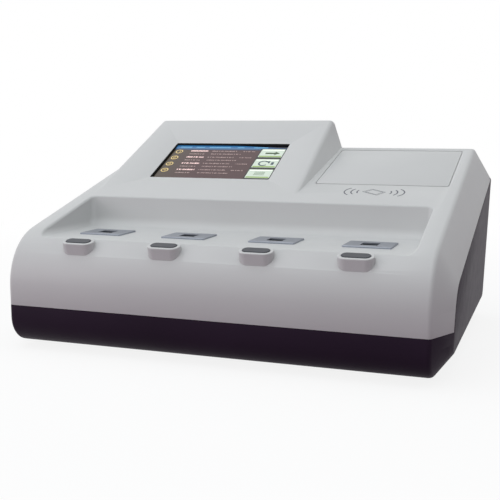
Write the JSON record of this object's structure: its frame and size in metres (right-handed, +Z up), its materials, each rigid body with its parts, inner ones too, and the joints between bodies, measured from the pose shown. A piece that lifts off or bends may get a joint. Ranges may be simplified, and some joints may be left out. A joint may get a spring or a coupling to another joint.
{
  "type": "specific protein analyzer",
  "caption": "Bench analyzer with square cuvette wells on a work shelf, a tilted touch screen, a strip printer under a lid and a rear connector panel.",
  "frame": {"origin": "on the table, under the middle of the space the whole analyzer fills", "axes": "+X to the right seen from the front, +Y to the back, +Z up"},
  "size_m": [0.3582, 0.2638, 0.1796],
  "materials": {
    "shell_light": "fine satin moulding",
    "shell_dark": "fine textured moulding",
    "port_plate": "blue grey anodised",
    "key_dark": "satin",
    "block_black": "black anodised",
    "sheet_steel": "zinc plated sheet",
    "panel_paint": "fine structure paint",
    "screw_steel": "plated",
    "screen_glass": "polished cover glass over a lit picture",
    "display_case": "bright sheet",
    "seal_rubber": "foam rubber",
    "foot_rubber": "moulded rubber",
    "circuit_board": "solder resist",
    "fan_plastic": "moulded",
    "socket_plastic": "moulded",
    "motor_steel": "drawn can",
    "lamp_metal": "turned",
    "port_metal": "bright plated",
    "roller_rubber": "ground rubber",
    "frame_plastic": "moulded",
    "head_metal": "plain",
    "roll_paper": "wound thermal paper"
  },
  "bodies": {
    "case": {"base_shell": "shell_dark", "board_screws": "screw_steel", "card_antenna": "circuit_board", "case_screws": "screw_steel", "chassis_plate": "sheet_steel", "chassis_screws": "screw_steel", "cuvette_block_1": "block_black", "cuvette_block_2": "block_black", "cuvette_block_3": "block_black", "cuvette_block_4": "block_black", "detector_boards": "circuit_board", "display_bracket": "sheet_steel", "display_module": "display_case", "display_screws": "screw_steel", "fan_frame": "fan_plastic", "feet": "foot_rubber", "hinge_pins": "screw_steel", "key_bezel_1": "shell_light", "key_bezel_2": "shell_light", "key_bezel_3": "shell_light", "key_bezel_4": "shell_light", "key_board": "circuit_board", "light_source_1": "lamp_metal", "light_source_2": "lamp_metal", "light_source_3": "lamp_metal", "light_source_4": "lamp_metal", "main_board": "circuit_board", "panel_screws": "screw_steel", "port_plate_1": "port_plate", "port_plate_2": "port_plate", "port_plate_3": "port_plate", "port_plate_4": "port_plate", "power_inlet": "socket_plastic", "power_supply": "sheet_steel", "print_head": "head_metal", "printer_frame": "frame_plastic", "rear_panel": "panel_paint", "screen_gasket": "seal_rubber", "serial_port": "port_metal", "stirrer_motor_1": "motor_steel", "stirrer_motor_2": "motor_steel", "stirrer_motor_3": "motor_steel", "stirrer_motor_4": "motor_steel", "switch_body": "socket_plastic", "touch_panel": "screen_glass", "upper_shell": "shell_light", "usb_ports": "port_metal"},
    "key_1": {"channel_key_1": "key_dark"},
    "key_2": {"channel_key_2": "key_dark"},
    "key_3": {"channel_key_3": "key_dark"},
    "key_4": {"channel_key_4": "key_dark"},
    "fan": {"fan_rotor": "fan_plastic"},
    "paper_roll": {"paper_roll": "roll_paper"},
    "platen": {"platen_roller": "roller_rubber"},
    "lid": {"printer_lid": "shell_light"},
    "stirrer_1": {"stirrer_rotor_1": "frame_plastic"},
    "stirrer_2": {"stirrer_rotor_2": "frame_plastic"},
    "stirrer_3": {"stirrer_rotor_3": "frame_plastic"},
    "stirrer_4": {"stirrer_rotor_4": "frame_plastic"},
    "rocker": {"switch_rocker": "socket_plastic"}
  },
  "joints": [
    {"name": "key_1_press", "type": "slide", "parent": "case", "child": "key_1", "axis": [0, 0.2419, -0.9703], "range_m": [0, 0.0012], "stiffness_N_per_m": 400, "springref_m": -0.001},
    {"name": "key_2_press", "type": "slide", "parent": "case", "child": "key_2", "axis": [0, 0.2419, -0.9703], "range_m": [0, 0.0012], "stiffness_N_per_m": 400, "springref_m": -0.001},
    {"name": "key_3_press", "type": "slide", "parent": "case", "child": "key_3", "axis": [0, 0.2419, -0.9703], "range_m": [0, 0.0012], "stiffness_N_per_m": 400, "springref_m": -0.001},
    {"name": "key_4_press", "type": "slide", "parent": "case", "child": "key_4", "axis": [0, 0.2419, -0.9703], "range_m": [0, 0.0012], "stiffness_N_per_m": 400, "springref_m": -0.001},
    {"name": "stirrer_1_turn", "type": "hinge", "parent": "case", "child": "stirrer_1", "pos_m": [-0.1079, -0.07285, 0.041], "axis": [0, 0, 1], "continuous": true},
    {"name": "stirrer_2_turn", "type": "hinge", "parent": "case", "child": "stirrer_2", "pos_m": [-0.0353, -0.07285, 0.041], "axis": [0, 0, 1], "continuous": true},
    {"name": "stirrer_3_turn", "type": "hinge", "parent": "case", "child": "stirrer_3", "pos_m": [0.0373, -0.07285, 0.041], "axis": [0, 0, 1], "continuous": true},
    {"name": "stirrer_4_turn", "type": "hinge", "parent": "case", "child": "stirrer_4", "pos_m": [0.1099, -0.07285, 0.041], "axis": [0, 0, 1], "continuous": true},
    {"name": "lid_swing", "type": "hinge", "parent": "case", "child": "lid", "pos_m": [0.09775, 0.10739, 0.14596], "axis": [-1, 0, 0], "range_deg": [0, 110]},
    {"name": "platen_turn", "type": "hinge", "parent": "lid", "child": "platen", "pos_m": [0.09775, 0.03326, 0.11991], "axis": [1, 0, 0], "continuous": true},
    {"name": "roll_turn", "type": "hinge", "parent": "case", "child": "paper_roll", "pos_m": [0.09775, 0.07472, 0.1088], "axis": [1, 0, 0], "continuous": true},
    {"name": "rocker_tilt", "type": "hinge", "parent": "case", "child": "rocker", "pos_m": [0.084, 0.1266, 0.066], "axis": [-1, 0, 0], "range_deg": [0, 20]},
    {"name": "fan_turn", "type": "hinge", "parent": "case", "child": "fan", "pos_m": [-0.104, 0.12015, 0.057], "axis": [0, 1, 0], "continuous": true}
  ]
}
